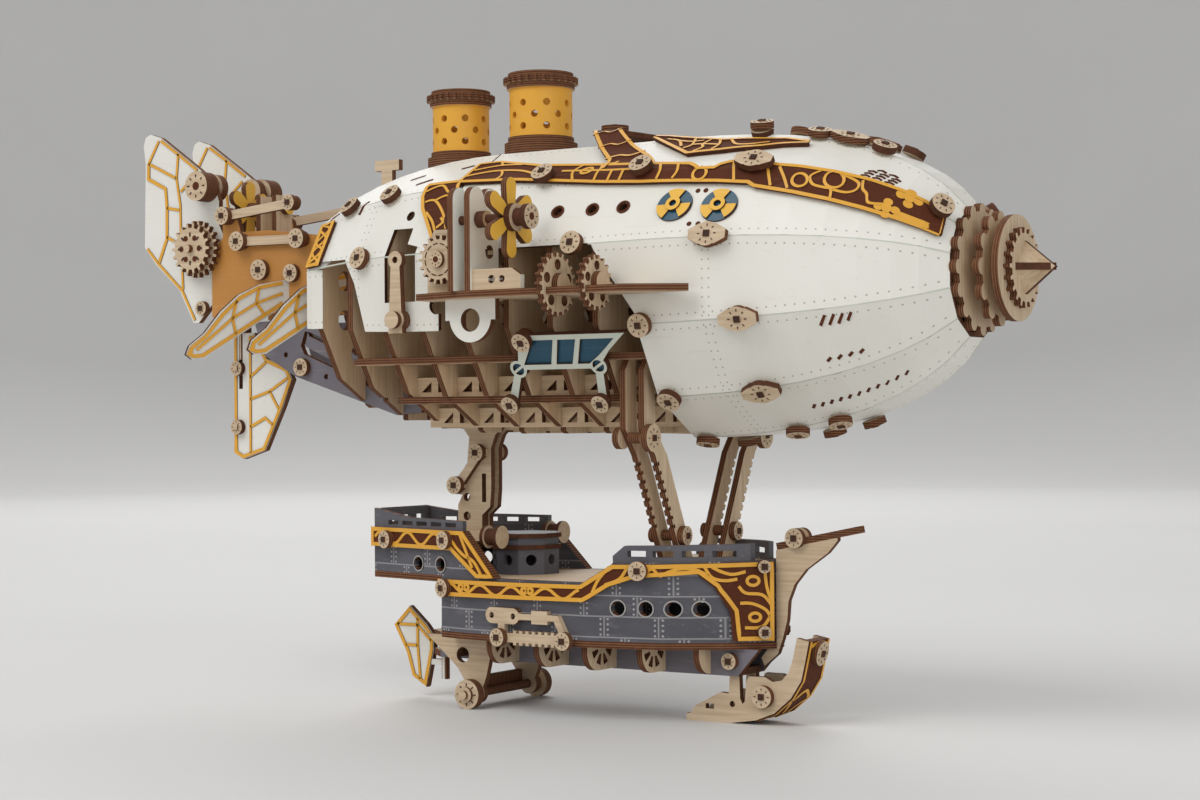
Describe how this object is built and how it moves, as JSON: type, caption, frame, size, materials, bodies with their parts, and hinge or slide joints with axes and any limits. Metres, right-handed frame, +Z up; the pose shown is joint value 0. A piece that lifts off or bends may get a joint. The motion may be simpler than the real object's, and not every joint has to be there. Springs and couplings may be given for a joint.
{
  "type": "plywood airship model",
  "caption": "Display model of an airship: gored ellipsoid envelope with tail fins, chimneys and propellers, carried on struts above a ship-shaped gondola with a ski and stern wheels.",
  "frame": {"origin": "centre of the overall box at the height of the ground under the ski and wheels", "axes": "+X towards the nose, +Y to port, +Z up"},
  "size_m": [0.3266, 0.1306, 0.1965],
  "materials": {
    "bare_ply": "laser-cut birch plywood, bare face with burnt edges",
    "white_ply": "off-white printed plywood",
    "slate_ply": "slate grey printed plywood",
    "gold_ply": "golden yellow printed plywood on a dark brown field",
    "blue_ply": "blue printed panes in a pale frame",
    "orange_ply": "orange-tan printed plywood"
  },
  "bodies": {
    "airframe": {"nose_plate": "bare_ply", "envelope_front": "white_ply", "envelope_top": "white_ply", "rear_cowl": "white_ply", "ribs": "bare_ply", "keel_plate": "bare_ply", "keel_shelves": "bare_ply", "chimney_tubes": "gold_ply", "chimney_rims": "bare_ply", "ornament_bands": "gold_ply", "window_panels": "blue_ply", "outrigger_plates": "bare_ply", "outrigger_gears": "bare_ply", "engine_brackets": "bare_ply", "lever_pins": "bare_ply", "hull_buttons": "bare_ply", "hull_diamonds": "bare_ply", "tail_side_plates": "orange_ply", "tail_keel_plates": "slate_ply", "tail_fins": "white_ply", "tail_frames": "bare_ply", "stabilisers": "white_ply", "tail_cranks": "gold_ply", "rudder_bearings": "bare_ply", "rear_pylons": "bare_ply", "front_struts": "bare_ply", "boat_floor": "slate_ply", "boat_keel_box": "slate_ply", "hull_ribs": "bare_ply", "hull_side_right": "slate_ply", "hull_side_left": "slate_ply", "decks": "bare_ply", "castle_sides": "slate_ply", "hull_trim": "gold_ply", "deck_rails": "slate_ply", "cabin": "slate_ply", "bow_stem": "bare_ply", "bowsprit": "bare_ply", "ski_runners": "bare_ply", "ski_sole": "bare_ply", "stern_foot": "bare_ply", "side_linkages": "bare_ply", "gondola_buttons": "bare_ply", "top_post": "bare_ply"},
    "nose_spinner": {"nose_gear": "bare_ply", "nose_ring": "bare_ply", "nose_pinion": "bare_ply", "nose_cone": "bare_ply", "nose_axle": "bare_ply"},
    "propeller_right": {"propeller_right": "gold_ply"},
    "propeller_left": {"propeller_left": "gold_ply"},
    "engine_gear_right": {"engine_gear_right": "bare_ply"},
    "engine_gear_left": {"engine_gear_left": "bare_ply"},
    "cowl_lever_right": {"cowl_lever_right": "bare_ply"},
    "cowl_lever_left": {"cowl_lever_left": "bare_ply"},
    "tail_gears": {"tail_gears": "bare_ply"},
    "tail_propeller": {"tail_propeller": "gold_ply"},
    "lower_rudder": {"lower_rudder": "white_ply"},
    "boat_rudder": {"boat_rudder": "white_ply"},
    "stern_wheels": {"stern_wheels": "bare_ply"}
  },
  "joints": [
    {"name": "nose_spin", "type": "hinge", "parent": "airframe", "child": "nose_spinner", "pos_m": [0.146, 0, 0.1295], "axis": [1, 0, 0], "continuous": true},
    {"name": "propeller_right_spin", "type": "hinge", "parent": "airframe", "child": "propeller_right", "pos_m": [0.021, -0.055, 0.1465], "axis": [1, 0, 0], "continuous": true},
    {"name": "propeller_left_spin", "type": "hinge", "parent": "airframe", "child": "propeller_left", "pos_m": [0.021, 0.055, 0.1465], "axis": [1, 0, 0], "continuous": true},
    {"name": "engine_gear_right_spin", "type": "hinge", "parent": "airframe", "child": "engine_gear_right", "pos_m": [-0.007, -0.05, 0.136], "axis": [0, 1, 0], "continuous": true},
    {"name": "engine_gear_left_spin", "type": "hinge", "parent": "airframe", "child": "engine_gear_left", "pos_m": [-0.007, 0.05, 0.136], "axis": [0, 1, 0], "continuous": true},
    {"name": "cowl_lever_right_swing", "type": "hinge", "parent": "airframe", "child": "cowl_lever_right", "pos_m": [-0.0265, -0.046, 0.119], "axis": [0, 1, 0], "range_deg": [-15, 15]},
    {"name": "cowl_lever_left_swing", "type": "hinge", "parent": "airframe", "child": "cowl_lever_left", "pos_m": [-0.0265, 0.046, 0.119], "axis": [0, 1, 0], "range_deg": [-15, 15]},
    {"name": "tail_gear_spin", "type": "hinge", "parent": "airframe", "child": "tail_gears", "pos_m": [-0.135, 0, 0.147], "axis": [0, 1, 0], "continuous": true},
    {"name": "tail_propeller_spin", "type": "hinge", "parent": "airframe", "child": "tail_propeller", "pos_m": [-0.127, 0, 0.161], "axis": [1, 0, 0], "continuous": true},
    {"name": "lower_rudder_turn", "type": "hinge", "parent": "airframe", "child": "lower_rudder", "pos_m": [-0.13, 0, 0.12], "axis": [0, 0, 1], "range_deg": [-20, 20]},
    {"name": "boat_rudder_turn", "type": "hinge", "parent": "airframe", "child": "boat_rudder", "pos_m": [-0.044, 0, 0.015], "axis": [0, 0, 1], "range_deg": [-30, 30]},
    {"name": "stern_wheel_spin", "type": "hinge", "parent": "airframe", "child": "stern_wheels", "pos_m": [-0.021, 0, 0.0045], "axis": [0, 1, 0], "continuous": true}
  ]
}
